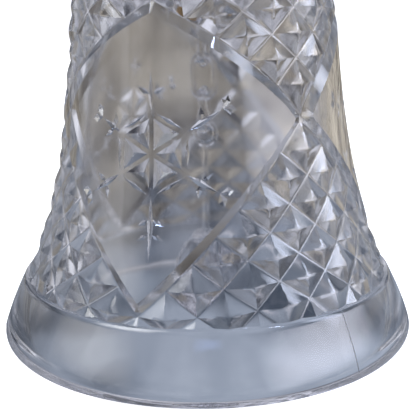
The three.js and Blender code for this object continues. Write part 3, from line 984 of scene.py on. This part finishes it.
def face_outwards(obj):
    """Turns every face of a closed mesh outwards."""
    shape = bmesh.new()
    shape.from_mesh(obj.data)
    bmesh.ops.remove_doubles(shape, verts=shape.verts, dist=1e-7)
    bmesh.ops.recalc_face_normals(shape, faces=shape.faces)
    shape.to_mesh(obj.data)
    shape.free()


def finish_piece(obj, material, body, node, sharp_over=35):
    obj.data.materials.clear()
    obj.data.materials.append(material)
    smooth(obj, sharp_over)
    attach(obj, body)
    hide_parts(node)


print("a rounded square has", len(rounded_outline([(1, 0, 0.2), (2, 0, 0.2), (2, 1, 0.2)])), "points")

# %% [markdown]
# ## The cap
# The cap sits on its pad by a flat seat, and its skirt reaches down past it. The dome's points lie
# on an ellipse from the skirt to the collar.

# %% Gilt cap
BORE = 1.9
CAP_SKIRT = 1.6
CAP_WALL = 1.0
cap_low, cap_high = size_of("crown_cap")
collar_low, collar_high = size_of("cap_collar")
cap_radius, collar_radius = cap_high.x, collar_high.x
cap_seat = cap_low.z + CAP_SKIRT
dome = [
    (r, z, 0)
    for r, z in (
        (
            collar_radius + (cap_radius - 0.5 - collar_radius) * math.cos(math.radians(angle)),
            cap_seat + 0.5 + (cap_high.z - cap_seat - 0.5) * math.sin(math.radians(angle)),
        )
        for angle in range(0, 91, 9)
    )
]
cap_outline = rounded_outline(
    [
        (BORE, cap_seat, 0.2),
        (cap_radius - CAP_WALL, cap_seat, 0.3),
        (cap_radius - CAP_WALL, cap_low.z, 0.3),
        (cap_radius, cap_low.z, 0.3),
        (cap_radius, cap_seat + 0.1, 0.3),
        *dome,
        (BORE, cap_high.z, 0.15),
    ]
)
fine_cap = turned("gilt_cap", cap_outline, 128)
finish_piece(fine_cap, gilt, "root", "crown_cap")
print("gilt cap:", len(fine_cap.data.polygons), "faces")

# %% [markdown]
# ## The collar
# The collar has a lip, a groove and a bead, cut in one go on a lathe. The same sweep makes it.

# %% Gilt collar
COLLAR_LIP = 0.8
COLLAR_GROOVE = 0.9
BEAD_SWELL = 0.5  # how far the bead above the groove stands out of it
collar_neck = collar_radius - COLLAR_GROOVE
collar_outline = rounded_outline(
    [
        (BORE, collar_low.z, 0.15),
        (collar_radius, collar_low.z, 0.35),
        (collar_radius, collar_low.z + COLLAR_LIP, 0.35),
        (collar_neck, collar_low.z + COLLAR_LIP + 0.3, 0.25),
        (collar_neck + BEAD_SWELL, collar_low.z + COLLAR_LIP + 0.95, 0.3),
        (collar_neck, collar_high.z, 0.3),
        (BORE, collar_high.z, 0.15),
    ]
)
fine_collar = turned("gilt_collar", collar_outline)
finish_piece(fine_collar, gilt, "root", "cap_collar")
print("gilt collar:", len(fine_collar.data.polygons), "faces")

# %% [markdown]
# ## A beaded edge round the cap
# A row of small beads is pressed into the rim of the cap. Beads that repeat round a circle are a
# task for Geometry Nodes: one bead is put on every point of a circle, and its count and size
# stay named inputs.


# %% Beaded edge
def beading_tree():
    tree = bpy.data.node_groups.new("beaded_edge", "GeometryNodeTree")
    face = tree.interface
    face.new_socket("Geometry", in_out="INPUT", socket_type="NodeSocketGeometry")
    face.new_socket("Bead Count", in_out="INPUT", socket_type="NodeSocketInt")
    for name in ("Ring Radius", "Ring Height", "Bead Radius"):
        face.new_socket(name, in_out="INPUT", socket_type="NodeSocketFloat")
    face.new_socket("Metal", in_out="INPUT", socket_type="NodeSocketMaterial")
    face.new_socket("Geometry", in_out="OUTPUT", socket_type="NodeSocketGeometry")
    given = add_node(tree, "NodeGroupInput").outputs
    circle = add_node(
        tree, "GeometryNodeMeshCircle", {"Vertices": given["Bead Count"], "Radius": given["Ring Radius"]}
    )
    lift = add_node(tree, "ShaderNodeCombineXYZ", {"Z": given["Ring Height"]})
    raised = add_node(
        tree, "GeometryNodeSetPosition", {"Geometry": circle.outputs[0], "Offset": lift.outputs[0]}
    )
    bead = add_node(
        tree, "GeometryNodeMeshUVSphere", {"Segments": 10, "Rings": 6, "Radius": given["Bead Radius"]}
    )
    beads = add_node(
        tree, "GeometryNodeInstanceOnPoints", {"Points": raised.outputs[0], "Instance": bead.outputs[0]}
    )
    real = add_node(tree, "GeometryNodeRealizeInstances", {"Geometry": beads.outputs[0]})
    done = add_node(
        tree, "GeometryNodeSetMaterial", {"Geometry": real.outputs[0], "Material": given["Metal"]}
    )
    add_node(tree, "NodeGroupOutput", {"Geometry": done.outputs[0]})
    return tree


BEAD_RADIUS = 0.34
BEAD_COUNT = 72
beading = mesh_object("beading", [], [])
modifier = beading.modifiers.new("beaded_edge", "NODES")
modifier.node_group = beading_tree()
set_inputs(
    modifier,
    bead_count=BEAD_COUNT,
    ring_radius=(cap_radius - 0.12) * MM,
    ring_height=(cap_seat - 0.1) * MM,
    bead_radius=BEAD_RADIUS * MM,
    metal=gilt,
)
beaded_edge = made_plain(beading, "beaded_edge")
smooth(beaded_edge)
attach(beaded_edge, "root")
print("beaded edge:", len(beaded_edge.data.polygons), "faces")

# %% [markdown]
# ## Eye, ring and chain
# These are bent from round wire, so each is a circle swept along a closed loop. A link is two
# half circles joined by straight sides. A chain link's size and place come from its CAD node's box.


# %% Wire loops
def wire_loop(name, middle, radius, straight, wire, across, steps=72, sides=20):
    """A closed loop of round wire in the plane of `up` and `across`, about `middle`."""
    across, middle = np.array(across, float), np.array(middle, float)
    up = np.array((0, 0, 1.0))
    normal = np.cross(up, across)
    points, faces = [], []
    for k in range(steps):
        angle = 2 * math.pi * (k + 0.5) / steps
        out = across * math.cos(angle) + up * math.sin(angle)
        centre = middle + out * radius + up * math.copysign(straight / 2, math.sin(angle))
        for j in range(sides):
            turn = 2 * math.pi * j / sides
            points.append(tuple(centre + out * wire * math.cos(turn) + normal * wire * math.sin(turn)))
            a, b = k * sides, (k + 1) % steps * sides
            faces.append((a + j, b + j, b + (j + 1) % sides, a + (j + 1) % sides))
    return mesh_object(name, points, faces)


def joined(first, *others):
    """Joins mesh objects that run into each other into one."""
    for other in others:
        union = first.modifiers.new("union", "BOOLEAN")
        union.operation = "UNION"
        union.solver = "EXACT"
        union.object = other
    name = first.name
    first.name = name + "_rough"
    made = made_plain(first, name)
    for other in others:
        bpy.data.objects.remove(other)
    return made


ALONG_X = (1, 0, 0)
ALONG_Y = (0, 1, 0)
print("loops lie along", ALONG_X, "or", ALONG_Y)

# %% [markdown]
# ## The chain
# Each link stands across the one above it. The sizes are read from the CAD model's boxes, since a
# link's box gives its wire, its width and its length.

# %% Acrylic chain
for k in (1, 2, 3):
    low, high = size_of(f"chain_link_{k}")
    wire = min(high.x, high.y)
    radius = max(high.x, high.y) - wire
    straight = (high.z - low.z) - 2 * (radius + wire)
    middle = (0, 0, (low.z + high.z) / 2)
    across = ALONG_Y if k % 2 else ALONG_X
    link = wire_loop(f"acrylic_link_{k}", middle, radius, straight, wire, across)
    face_outwards(link)
    finish_piece(link, acrylic, f"link_{k}", f"chain_link_{k}")
    print(link.name, "is", round(high.z - low.z, 2), "mm long")

# %% [markdown]
# ## Hanging ring
# The ring is loose in the eye and has fallen to the right until it nearly meets the cap. Its
# plane holds the direction from the eye to its middle, so it is made level and then turned.

# %% Hanging ring
EYE_MIDDLE = 78.4
RING_RADIUS = 7.2
RING_WIRE = 0.9
RING_LEAN = math.radians(131)
ring_way = np.array((math.sin(RING_LEAN), 0, math.cos(RING_LEAN)))
ring_loop = wire_loop("gilt_ring", (0, 0, 0), RING_RADIUS, 0, RING_WIRE, ALONG_Y, 96, 20)
ring_turn = Matrix.Rotation(RING_LEAN, 4, "Y")
ring_turn.translation = Vector(ring_way * RING_RADIUS + (0, 0, EYE_MIDDLE)) * MM
ring_loop.data.transform(ring_turn)
face_outwards(ring_loop)
finish_piece(ring_loop, gilt, "ring", "hanging_ring")
print("ring leans", round(math.degrees(RING_LEAN)), "degrees from upright")

# %% [markdown]
# ## Eye bolt
# The stem, its flange and the neck are one turned shape, and the eye is bent round and brazed
# to the neck. A boolean union makes them one skin, so nothing is hidden where they meet.

# %% Eye bolt
STEM_RADIUS = 1.6
EYE_RADIUS = 2.6
EYE_WIRE = 1.1
GAP = 0.3  # what touching pieces keep between them
FLANGE_THICKNESS = 0.8
flange_radius = collar_radius - 1.1
flange = collar_high.z + GAP
bolt_foot = size_of("hanger_eye")[0].z
bolt_outline = rounded_outline(
    [
        (0.0, bolt_foot, 0),
        (STEM_RADIUS, bolt_foot, 0.35),
        (STEM_RADIUS, flange, 0),
        (flange_radius, flange, 0.2),
        (flange_radius, flange + FLANGE_THICKNESS, 0.3),
        (EYE_WIRE + 0.35, flange + FLANGE_THICKNESS + 0.3, 0.3),
        (EYE_WIRE, EYE_MIDDLE - EYE_RADIUS, 0),
        (0.0, EYE_MIDDLE - EYE_RADIUS, 0),
    ]
)
bolt = turned("gilt_eye", bolt_outline, 64)
eye = wire_loop("eye_wire", (0, 0, EYE_MIDDLE), EYE_RADIUS, 0, EYE_WIRE, ALONG_X, 96, 24)
face_outwards(eye)
eye_bolt = joined(bolt, eye)
finish_piece(eye_bolt, gilt, "root", "hanger_eye")
print("eye bolt:", len(eye_bolt.data.polygons), "faces")

# %% [markdown]
# ## Pale floor
# To the camera the floor is plain pale paper. What the glass bends towards the eye is a floor
# that glows by itself, which is painted light: darker and cooler close round the bell, warmer
# further off, and with painted light that grows towards the right, so that the facets differ.

# %% Floor
HALF_FLOOR = 1500
corners = [(x * HALF_FLOOR, y * HALF_FLOOR, 0) for x, y in ((-1, -1), (1, -1), (1, 1), (-1, 1))]
floor = mesh_object("floor", corners, [(0, 1, 2, 3)])
paper = bpy.data.materials.new("pale_paper")
paper.use_nodes = True
tree = paper.node_tree
tree.nodes.clear()
seen = add_node(tree, "ShaderNodeLightPath").outputs["Is Camera Ray"]
glow = add_node(tree, "ShaderNodeEmission", {"Color": colour("#ffffff"), "Strength": 0.8})
matte = add_node(tree, "ShaderNodeBsdfDiffuse", {"Color": colour("#f4f4f4")})
lit = add_node(tree, "ShaderNodeAddShader", {0: glow.outputs[0], 1: matte.outputs[0]})
place_on = add_node(tree, "ShaderNodeTexCoord").outputs["Object"]
# Close round the bell the glowing floor takes darker, cooler patches; further off, warmer ones.
near_bell_patches = add_node(tree, "ShaderNodeTexNoise", {"Vector": place_on, "Scale": 26.0, "Detail": 2.0})
near_bell_tones = add_node(tree, "ShaderNodeValToRGB", {"Fac": near_bell_patches.outputs["Fac"]})
near_bell_tones.color_ramp.elements[0].position, near_bell_tones.color_ramp.elements[0].color = 0.40, colour("#3c4553")
near_bell_tones.color_ramp.elements[1].position, near_bell_tones.color_ramp.elements[1].color = 0.58, colour("#949eae")
away = add_node(tree, "ShaderNodeVectorMath", {0: place_on}, operation="LENGTH")
far = add_node(
    tree, "ShaderNodeMapRange", {"Value": away.outputs["Value"], "From Min": 0.035, "From Max": 0.16}
)
worn = add_node(tree, "ShaderNodeTexNoise", {"Vector": place_on, "Scale": 9.0, "Detail": 3.0})
wood = add_node(tree, "ShaderNodeValToRGB", {"Fac": worn.outputs["Fac"]})
wood.color_ramp.elements[0].position, wood.color_ramp.elements[0].color = 0.40, colour("#4c443d")
wood.color_ramp.elements[1].position, wood.color_ramp.elements[1].color = 0.60, colour("#cfc8ba")
ground = add_node(
    tree,
    "ShaderNodeMix",
    {"Factor": far.outputs[0], 6: near_bell_tones.outputs[0], 7: wood.outputs[0]},
    data_type="RGBA",
)
# Painted light: the floor glows brighter towards the right, as if a lamp stood on that side.
sideways = add_node(tree, "ShaderNodeSeparateXYZ", {0: place_on}).outputs[0]
painted_light_to_right = add_node(
    tree,
    "ShaderNodeMapRange",
    {"Value": sideways, "From Min": -0.05, "From Max": 0.05, "To Min": 0.7, "To Max": 1.5},
)
# For light that is not the camera's, the floor glows by itself in these colours, which is painted light.
painted_floor_glow = add_node(tree, "ShaderNodeEmission", {"Color": ground.outputs[2], "Strength": painted_light_to_right.outputs[0]})
both = add_node(tree, "ShaderNodeMixShader", {0: seen, 1: painted_floor_glow.outputs[0], 2: lit.outputs[0]})
add_node(tree, "ShaderNodeOutputMaterial", {"Surface": both.outputs[0]})
floor.data.materials.append(paper)
print("floor:", 2 * HALF_FLOOR, "mm square")

# %% [markdown]
# ## Room and softboxes
# Clear glass shows only what it bends and mirrors. Behind the camera's plain white stands a room
# of soft greys with a few dark gaps, which gives the facets their lights and darks. The softboxes
# only mirror in the surface: they are hidden from light that goes through the glass.

# %% Room
world = bpy.data.worlds.new("studio")
bpy.context.scene.world = world
world.use_nodes = True
tree = world.node_tree
tree.nodes.clear()
seen = add_node(tree, "ShaderNodeLightPath").outputs["Is Camera Ray"]
ray = add_node(tree, "ShaderNodeTexCoord").outputs["Generated"]
height = add_node(tree, "ShaderNodeSeparateXYZ", {0: ray}).outputs[2]
up = add_node(tree, "ShaderNodeMapRange", {"Value": height, "From Min": -1.0, "From Max": 1.0})
sky = add_node(tree, "ShaderNodeValToRGB", {"Fac": up.outputs[0]})
ROOM = ((0.30, "#7f7a75"), (0.46, "#8f9199"), (0.52, "#b4b6bd"), (0.64, "#c9cbd4"), (0.85, "#9a9caa"))
stops = sky.color_ramp.elements
while len(stops) < len(ROOM):
    stops.new(0.5)
for stop, (at, shade) in zip(stops, ROOM):
    stop.position, stop.color = at, colour(shade)
cloud = add_node(tree, "ShaderNodeTexNoise", {"Vector": ray, "Scale": 3.8, "Detail": 2.0})
light = add_node(
    tree,
    "ShaderNodeMapRange",
    {"Value": cloud.outputs["Fac"], "From Min": 0.36, "From Max": 0.64, "To Min": 0.2, "To Max": 1.9},
)
shaded = add_node(
    tree,
    "ShaderNodeVectorMath",
    {0: sky.outputs[0], "Scale": light.outputs[0]},
    operation="SCALE",
)
dark = add_node(
    tree,
    "ShaderNodeTexNoise",
    {"Vector": ray, "Scale": 2.3, "Detail": 1.0, "W": 3.0},
    noise_dimensions="4D",
)
gap = add_node(
    tree, "ShaderNodeMapRange", {"Value": dark.outputs["Fac"], "From Min": 0.585, "From Max": 0.61}
)
walls = add_node(
    tree,
    "ShaderNodeMix",
    {"Factor": gap.outputs[0], 6: shaded.outputs[0], 7: colour("#0d1226")},
    data_type="RGBA",
)
room = add_node(tree, "ShaderNodeBackground", {"Color": walls.outputs[2], "Strength": 1.0})
white = add_node(tree, "ShaderNodeBackground", {"Color": (1, 1, 1, 1), "Strength": 1.0})
both = add_node(tree, "ShaderNodeMixShader", {0: seen, 1: room.outputs[0], 2: white.outputs[0]})
add_node(tree, "ShaderNodeOutputWorld", {"Surface": both.outputs[0]})
print("room of", len(ROOM), "greys")

# %% [markdown]
# ## Softboxes
# A real softbox is brightest in its middle and fades to its edge. A plain area light would leave
# hard rectangles in the glass, so its strength falls off across its face.


# %% Softboxes
def softbox(name, turn, height, away, size, power, tint="#ffffff"):
    """An area light that faces the middle of the bell, brightest in its middle as a softbox is."""
    light = bpy.data.lights.new(name, "AREA")
    light.shape = "RECTANGLE"
    light.size, light.size_y = size[0] * MM, size[1] * MM
    light.energy = power
    light.color = colour(tint)[:3]
    made = bpy.data.objects.new(name, light)
    made.location = Vector(place(turn, away, height)) * MM
    aim = Vector((0, 0, GLASS_HEIGHT / 2 * MM)) - made.location
    made.rotation_mode = "QUATERNION"
    made.rotation_quaternion = aim.to_track_quat("-Z", "Y")
    made.visible_transmission = False
    light.use_nodes = True
    tree = light.node_tree
    tree.nodes.clear()
    spot = add_node(tree, "ShaderNodeNewGeometry").outputs["Parametric"]
    rest = add_node(tree, "ShaderNodeVectorMath", {0: (1, 1, 1), 1: spot}, operation="SUBTRACT")
    bow = add_node(tree, "ShaderNodeVectorMath", {0: spot, 1: rest.outputs[0]}, operation="MULTIPLY")
    parts = add_node(tree, "ShaderNodeSeparateXYZ", {0: bow.outputs[0]}).outputs
    share = add_node(tree, "ShaderNodeMath", {0: parts[0], 1: parts[1]}, operation="MULTIPLY")
    level = add_node(tree, "ShaderNodeMath", {0: share.outputs[0], 1: 16.0}, operation="MULTIPLY")
    shine = add_node(tree, "ShaderNodeEmission", {"Color": (1, 1, 1, 1), "Strength": level.outputs[0]})
    add_node(tree, "ShaderNodeOutputLight", {"Surface": shine.outputs[0]})
    bpy.context.scene.collection.objects.link(made)


softbox("key_softbox", -40, 380, 320, (300, 300), 2.6)
softbox("fill_softbox", 100, 260, 380, (160, 300), 1.6, "#dfe8ff")
softbox("right_window", 86, 120, 400, (640, 220), 3.4, "#f0f1ff")
softbox("left_window", -46, 120, 400, (420, 200), 0.8, "#fff8ee")
softbox("back_softbox", 200, 320, 340, (300, 160), 1.4)
softbox("left_strip", -60, 300, 120, (10, 200), 0.35, "#b9cdff")
softbox("right_strip", 75, 300, 160, (10, 200), 0.35, "#c9d8ff")
softbox("top_strip", 20, 200, 380, (120, 24), 0.025, "#9fb8ff")
print("softboxes:", len(bpy.data.lights))

# %% [markdown]
# ## Colour and bounces
# Light crosses many walls in cut glass. With too few bounces the deepest paths end in black.

# %% Colour and bounces
bpy.context.scene.view_settings.view_transform = "Standard"
BOUNCES = 32
for limit in ("max_bounces", "transmission_bounces", "glossy_bounces"):
    setattr(bpy.context.scene.cycles, limit, BOUNCES)
print("bounces:", BOUNCES)
